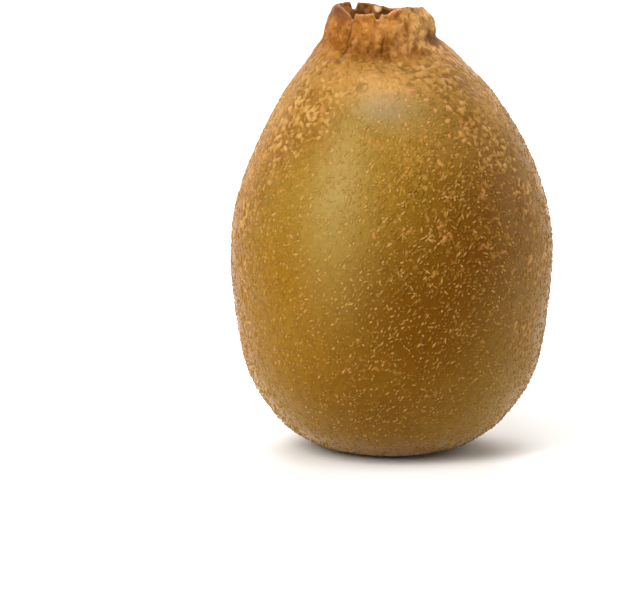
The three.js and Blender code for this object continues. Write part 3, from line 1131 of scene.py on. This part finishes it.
def skin_material():
    """Kiwi fruit skin: a thin, tough, dried rind, waxed by rubbing and russeted where cork grew over it.

    It gives a satin gloss over ochre and olive brown, goes dull and tan where cork covers it, and has a
    faint pale bloom at grazing angles from the stubs of its rubbed-off hairs.
    """
    colours = bpy.context.scene.kiwi_fruit_colours
    material, tree, parts = new_material(
        "waxed_russeted_rind",
        [
            ("blotch", 5.0, 3.0),  # cloudy patches
            ("heap", 3.2, 2.0),  # heaps of cork and the bare rind between them
            # These blotches also break up the painted highlight on the lobe and the painted shade at the
            # neck
            ("beak_blotch", 2.3, 2.0),  # brown patches on the beak
            ("mottle", 1.5, 3.0),  # between the grains
            ("leather", 0.55, 2.0),  # the rind's own grain
            ("stipple", 0.3, 1.0),  # pores, a few times their real size so that they show
        ],
        [
            *RIND_MASKS,
            *("lobe", "inside", "crease", "furrow", "curl"),
            *("neck", "stain", "edge", "pale_patch", "crest", "fresh", "cork", "groove", "stub"),
        ],
    )
    base = painted(
        tree,
        parts,
        colours.ochre,
        [
            *rind_layers(colours),
            ("5c3a06", "rough", 0.30, "mottle", 0.62, 0.34),
            ("573704", "rough", 0.30, "leather", 0.56, 0.36),
            # Cork on the rind
            (colours.cork, "russet", 0.40, "heap", 0.40, 0.62),
            ("5f3b10", "russet", 0.65, "mottle", 0.52, 0.34),
            # Darker brown in and beside the russet; on the right of the front it is partly painted shade
            ("6b410f", "brown_and_shade", 0.75, "mottle", 0.20, 0.50),
            # The beak's outer wall
            (colours.beak, "beak", 1.0, "mottle", -0.6, 0.5),
            # Paler on the right-hand lobe and most on its warts' tops, where this is a painted highlight
            ("d9a866", "lobe", 0.95, "beak_blotch", 0.12, 0.50),
            ("75420f", "beak", 0.70, "beak_blotch", 0.54, 0.38),
            ("6b3b0c", "beak", 0.50, "leather", 0.48, 0.34),
            ("4b290a", "beak", 0.45, "stipple", 0.34, 0.26),
            ("a55c28", "curl", 0.9, "mottle", -0.4, 0.4),
            ("c38f4e", "beak", 0.48, "mottle", 0.50, 0.66),
            # Darker across the concave front of the neck: painted shade, over its darker tissue
            ("5e340c", "neck", 0.60, "beak_blotch", 0.72, 0.34),
            # Painted shade in the furrows and in the crevices between the warts
            ("5c3610", "furrow", 0.48, "mottle", -0.6, 0.4),
            ("573529", "stain", 0.92, "mottle", 0.14, 0.44),
            # A dark line down the fold where the front flap laps over the left one: a painted shadow
            ("512b17", "crease", 0.80, "mottle", -0.6, 0.4),
            # Its hollow and its torn edge
            ("522a0e", "inside", 1.0, "mottle", -1.0, 0.0),
            ("7d4a20", "crest", 1.0, "mottle", 0.36, 0.60),
            ("2c1404", "inside", 0.6, "mottle", 0.62, 0.35),
            ("b67a40", "fresh", 1.0, "mottle", 0.16, 0.50),
            ("c9966a", "edge", 0.90, "leather", 0.26, 0.52),
            # A pale patch on the hollow's face at the back, below the rim
            ("d8b488", "pale_patch", 1.0, "leather", -0.2, 0.40),
            # The stalk scar
            ("85603e", "cork", 1.0, "mottle", -0.4, 0.4),
            ("553619", "cork", 0.70, "leather", 0.58, 0.40),
            ("3a2412", "groove", 0.75, "mottle", -0.6, 0.5),
            ("b08c60", "stub", 0.70, "leather", 0.36, 0.60),
        ],
    )
    dried = add(tree, "ShaderNodeMath", {"operation": "MAXIMUM"}, s0=parts["beak"], s1=parts["inside"])
    dull = add(tree, "ShaderNodeMath", {"operation": "MAXIMUM"}, s0=parts["russet"], s1=dried)
    polish = add(tree, "ShaderNodeMath", {"operation": "MULTIPLY"}, s0=parts["polish"], s1=COAT)
    roughness = add(tree, "ShaderNodeMapRange", s0=dull, s1=0.0, s2=0.8, s3=0.40, s4=0.74)
    settings = {"operation": "MULTIPLY_ADD"}
    relief = add(tree, "ShaderNodeMath", settings, s0=parts["stipple"], s1=0.35, s2=parts["leather"])
    depth = add(tree, "ShaderNodeMapRange", s0=parts["beak"], s1=0.0, s2=1.0, s3=0.12 * MM, s4=0.18 * MM)
    bump = add(tree, "ShaderNodeBump", Strength=0.8, Distance=depth, Height=relief)
    bloom = add(tree, "ShaderNodeMapRange", s0=dried, s1=0.0, s2=1.0, s3=0.85, s4=0.12)
    shader = add(
        tree,
        "ShaderNodeBsdfPrincipled",
        Base_Color=base,
        Roughness=roughness,
        Coat_Weight=polish,
        Coat_Normal=bump,
        Sheen_Weight=bloom,
        Normal=bump,
        **RIND_GLOSS,
    )
    add(tree, "ShaderNodeOutputMaterial", Surface=shader)
    return material


def grain_material():
    """Dull russet grains of dry cork and flattened hair stubs, some reddish, with a painted highlight on
    top and painted shade at the foot.
    """
    colours = bpy.context.scene.kiwi_fruit_colours
    material, tree, parts = new_material(
        "dried_cork_grains",
        [("blotch", 5.0, 3.0), ("mottle", 1.5, 3.0), ("fine", 0.3, 1.0)],
        [*RIND_MASKS, "tint", "top_light", "red"],
    )
    base = painted(
        tree,
        parts,
        colours.ochre,
        [
            *rind_layers(colours),
            (colours.beak, "beak", 1.0, "mottle", -0.6, 0.5),
            # Darkens each grain, less where the rind is rubbed, so that its foot keeps a painted shade
            # under its lighter top
            ("4c2e04", "rough", 0.30, "fine", -1.0, 0.0),
            # The grains' tops, painted lighter: a painted highlight
            ("a2752c", "top_light", 0.85, "tint", -0.3, 0.8),
            ("ac7242", "red", 0.9, "fine", -1.0, 0.0),
            ("bc955a", "top_light", 0.76, "tint", 0.4, 1.0),
        ],
    )
    polish = add(tree, "ShaderNodeMath", {"operation": "MULTIPLY"}, s0=parts["polish"], s1=COAT)
    bump = add(tree, "ShaderNodeBump", Strength=0.3, Distance=0.04 * MM, Height=parts["fine"])
    shader = add(
        tree,
        "ShaderNodeBsdfPrincipled",
        Base_Color=base,
        Roughness=0.55,
        Coat_Weight=polish,
        Sheen_Weight=0.6,
        Normal=bump,
        **RIND_GLOSS,
    )
    add(tree, "ShaderNodeOutputMaterial", Surface=shader)
    return material


def floor_material():
    """Painted board: rolled matt emulsion, near white, with faint clouds."""
    material, tree, parts = new_material("matt_white_board", [("cloud", 90.0, 2.0)], [])
    shade = painted(tree, parts, "f7f6f4", [("efeeec", "all", 0.5, "cloud", 0.35, 0.65)])
    shader = add(tree, "ShaderNodeBsdfPrincipled", Base_Color=shade, Roughness=0.75)
    add(tree, "ShaderNodeOutputMaterial", Surface=shader)
    return material


# ---- The stage

FLOOR_REACH = 8.0  # metres each way
WORLD_STRENGTH = 0.32
CAMERA_AIM = (-11.64, 0.0, 23.0)  # mm
CAMERA_DISTANCE = 600.0  # mm from there
CAMERA_ELEVATION = 10.0
LENS = 207.06
# Soft lights: name, azimuth, elevation, distance from the fruit's middle, width and height in metres, watts
SOFT_LIGHTS = [
    ("key_softbox", -130, 36, 0.75, 0.24, 0.54, 5.4),
    ("top_softbox", -101, 68, 0.80, 0.50, 0.50, 2.6),
    ("right_fill", 14, 20, 0.90, 0.50, 0.70, 2.3),
    ("left_rim", 155, 18, 0.90, 0.40, 0.70, 0.8),
    ("backdrop_light", 90, 42, 1.70, 1.60, 1.20, 26.0),
]


def around(azimuth, elevation, distance):
    """A place at an azimuth, elevation and distance from the middle of the fruit, in metres."""
    a, e = np.radians(azimuth), np.radians(elevation)
    way = np.array([np.cos(e) * np.cos(a), np.cos(e) * np.sin(a), np.sin(e)])
    return Vector((LOW + HIGH) / 2) + Vector(way * distance)


# ---- The add-on


def length_property(name, description, axis):
    """A length along an axis of the frame, which starts as the solid's own."""
    size = float(HIGH[axis] - LOW[axis])
    return bpy.props.FloatProperty(name=name, description=description, default=size, min=MM, unit="LENGTH")


def colour_property(name, description, value):
    """A colour to pick in the panel, which starts as an sRGB hex value."""
    return bpy.props.FloatVectorProperty(
        name=name, description=description, default=linear(value), size=4, min=0, max=1, subtype="COLOR"
    )


class KiwiFruitSizes(bpy.types.PropertyGroup):
    """The fruit's overall sizes and how many grains stand on it."""

    width: length_property("Width", "Across the widest girth", 0)
    depth: length_property("Depth", "Girth from front to back", 1)
    height: length_property("Height", "From the foot to the highest flap", 2)
    flecks: bpy.props.IntProperty(
        name="Flecks", description="Fine raised flecks on the flanks", default=11000, min=1
    )
    dots: bpy.props.IntProperty(
        name="Dots", description="Small dots between the flecks", default=16000, min=1
    )


class KiwiFruitColours(bpy.types.PropertyGroup):
    """The rind's main colours."""

    ochre: colour_property("Ochre", "Smooth rind", "8c6b21")
    olive: colour_property("Olive", "Darker rind on the right and below", "5c3000")
    gold: colour_property("Gold", "Yellower rind at the lower left", "875c00")
    cork: colour_property("Cork", "Russet over the rind", "a97a42")
    beak: colour_property("Beak", "Dried tissue of the beak", "965f29")


class KIWI_OT_skin(bpy.types.Operator):
    """Builds the skin with its beak, in place of the plain solid"""

    bl_idname = "kiwi_fruit.skin"
    bl_label = "Skin and beak"
    fit = None  # how the skin was fitted to the sizes, for the grains

    def execute(self, context):
        skin, fit = make_skin()
        skin.data.materials.append(skin_material())
        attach(skin, "root")
        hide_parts(NODE)
        KIWI_OT_skin.fit = fit
        return {"FINISHED"}


class KIWI_OT_grains(bpy.types.Operator):
    """Strews the skin with flecks, dots and lenticels, and crusts it with low, merging lumps of cork"""

    bl_idname = "kiwi_fruit.grains"
    bl_label = "Flecks and russet"

    def execute(self, context):
        sizes, fit = context.scene.kiwi_fruit_sizes, KIWI_OT_skin.fit
        if fit is None:
            raise RuntimeError("the skin is built before its grains")
        material = grain_material()
        pieces = [
            flank_flecks(sizes.flecks, fit),
            skin_dots(sizes.dots, fit),
            russet_crust("flank_crust", fit, low=2, high=CRUSTS_MEET, columns=860, step=0.18),
            russet_crust("shoulder_crust", fit, low=CRUSTS_MEET, high=69, columns=800, step=0.15),
            lenticels(fit),
        ]
        for piece in pieces:
            piece.data.materials.append(material)
            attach(piece, "root")
        return {"FINISHED"}


class KIWI_OT_stage(bpy.types.Operator):
    """Sets the pale floor, the soft lights and the camera"""

    bl_idname = "kiwi_fruit.stage"
    bl_label = "Floor, lights and camera"

    def execute(self, context):
        scene = context.scene
        corners = np.array([(-1, -1, 0), (1, -1, 0), (1, 1, 0), (-1, 1, 0)]) * FLOOR_REACH
        floor = make_mesh("floor", corners, [(0, 1, 2, 3)], {})
        floor.data.materials.append(floor_material())

        middle = Vector((LOW + HIGH) / 2)
        for name, azimuth, elevation, distance, width, height, power in SOFT_LIGHTS:
            light = bpy.data.lights.new(name, "AREA")
            light.shape, light.size, light.size_y, light.energy = "RECTANGLE", width, height, power
            lamp = bpy.data.objects.new(name, light)
            lamp.location = around(azimuth, elevation, distance)
            lamp.rotation_euler = (middle - lamp.location).to_track_quat("-Z", "Y").to_euler()
            scene.collection.objects.link(lamp)

        world = bpy.data.worlds.new("white_studio")
        world.use_nodes = True
        background = world.node_tree.nodes["Background"]
        background.inputs["Color"].default_value = linear("fffdfa")
        background.inputs["Strength"].default_value = WORLD_STRENGTH
        scene.world = world
        scene.view_settings.view_transform = "Standard"

        tilt = np.radians(CAMERA_ELEVATION)
        back = np.array([0, -np.cos(tilt), np.sin(tilt)]) * CAMERA_DISTANCE
        camera = bpy.data.objects.new("camera", bpy.data.cameras.new("camera"))
        camera.data.lens = LENS
        camera.location = (np.array(CAMERA_AIM) + back) * MM
        camera.rotation_euler = (np.radians(90) - tilt, 0, 0)
        scene.collection.objects.link(camera)
        scene.camera = camera
        return {"FINISHED"}


class KIWI_PT_fruit(bpy.types.Panel):
    """Lists the fruit's sizes, colours and the steps that build it"""

    bl_label = "Golden kiwi fruit"
    bl_space_type = "VIEW_3D"
    bl_region_type = "UI"
    bl_category = "Kiwi fruit"

    def draw(self, context):
        for group in (context.scene.kiwi_fruit_sizes, context.scene.kiwi_fruit_colours):
            for name in group.__annotations__:
                self.layout.prop(group, name)
        for step in STEPS:
            self.layout.operator(step.bl_idname)


STEPS = (KIWI_OT_skin, KIWI_OT_grains, KIWI_OT_stage)
CLASSES = (KiwiFruitSizes, KiwiFruitColours, *STEPS, KIWI_PT_fruit)


def register():
    """Registers the classes and gives each scene its sizes and colours."""
    for made in CLASSES:
        bpy.utils.register_class(made)
    bpy.types.Scene.kiwi_fruit_sizes = bpy.props.PointerProperty(type=KiwiFruitSizes)
    bpy.types.Scene.kiwi_fruit_colours = bpy.props.PointerProperty(type=KiwiFruitColours)


def unregister():
    """Takes back what register gave."""
    del bpy.types.Scene.kiwi_fruit_colours
    del bpy.types.Scene.kiwi_fruit_sizes
    for made in reversed(CLASSES):
        bpy.utils.unregister_class(made)


def main():
    """Builds everything."""
    register()
    bpy.ops.kiwi_fruit.skin()
    bpy.ops.kiwi_fruit.grains()
    bpy.ops.kiwi_fruit.stage()


if __name__ == "__main__":
    main()
